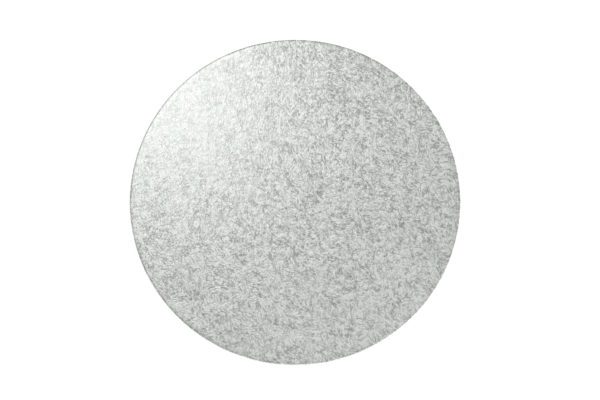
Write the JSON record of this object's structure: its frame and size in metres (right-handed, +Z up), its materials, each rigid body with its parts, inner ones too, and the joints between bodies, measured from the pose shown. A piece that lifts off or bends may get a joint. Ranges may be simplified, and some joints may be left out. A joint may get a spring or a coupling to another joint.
{
  "type": "cake board",
  "caption": "Round cake board with an embossed silver foil face, foil turned over the rim and gathered underneath, and a plain paper base.",
  "frame": {"origin": "centre of the underside, on the surface that the board stands on", "axes": "+Z up, square to the foil face; the board is round, so +X and +Y may point anywhere across it"},
  "size_m": [0.254, 0.254, 0.003],
  "materials": {
    "silver_foil": "embossed satin foil",
    "greyboard": "matt recycled board",
    "lining_paper": "matt plain paper"
  },
  "bodies": {
    "root": {"foil_cover": "silver_foil", "core_board": "greyboard", "base_lining": "lining_paper"}
  },
  "joints": []
}
